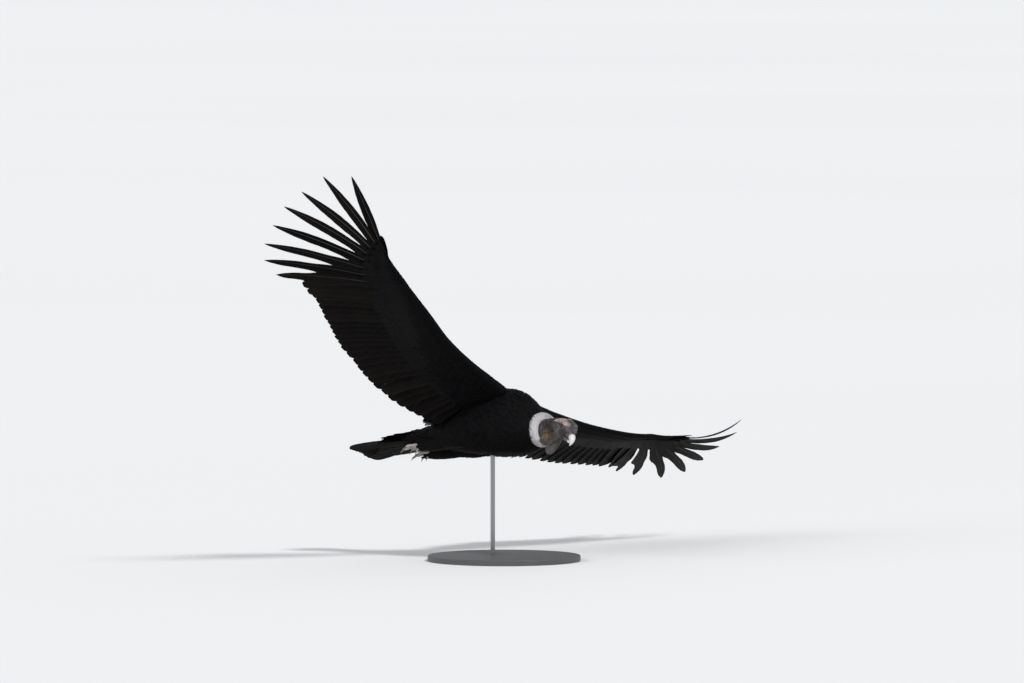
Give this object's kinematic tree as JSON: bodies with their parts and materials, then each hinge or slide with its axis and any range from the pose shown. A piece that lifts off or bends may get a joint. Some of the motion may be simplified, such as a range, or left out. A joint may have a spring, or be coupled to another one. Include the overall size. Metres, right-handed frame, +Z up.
{
  "type": "andean condor museum model",
  "caption": "Life-size still model of an adult male Andean condor banking in flight with spread wings and fingered tips, held over a round base by a plain rod",
  "frame": {"origin": "centre of the underside of the round base, on the floor", "axes": "+Z up; the bird heads towards -Y and its left wing reaches towards +X"},
  "size_m": [2.886, 1.1114, 1.5432],
  "materials": {
    "feathers": "matt black plumage",
    "down": "white down",
    "skin": "bare grey folded skin",
    "comb_skin": "wrinkled grey pink skin",
    "horn": "ivory horn, satin",
    "eye": "glossy brown",
    "leg_skin": "scaly grey skin",
    "steel": "brushed",
    "board": "painted pale grey, matt"
  },
  "bodies": {
    "root": {"torso": "feathers", "wing_left": "feathers", "wing_right": "feathers", "tail": "feathers", "thigh_left": "feathers", "thigh_right": "feathers", "ruff": "down", "neck": "skin", "head": "skin", "wattle": "skin", "comb": "comb_skin", "bill_upper": "horn", "bill_lower": "horn", "eye_left": "eye", "eye_right": "eye", "foot_left": "leg_skin", "foot_right": "leg_skin", "stand_rod": "steel", "stand_base": "board"}
  },
  "joints": []
}
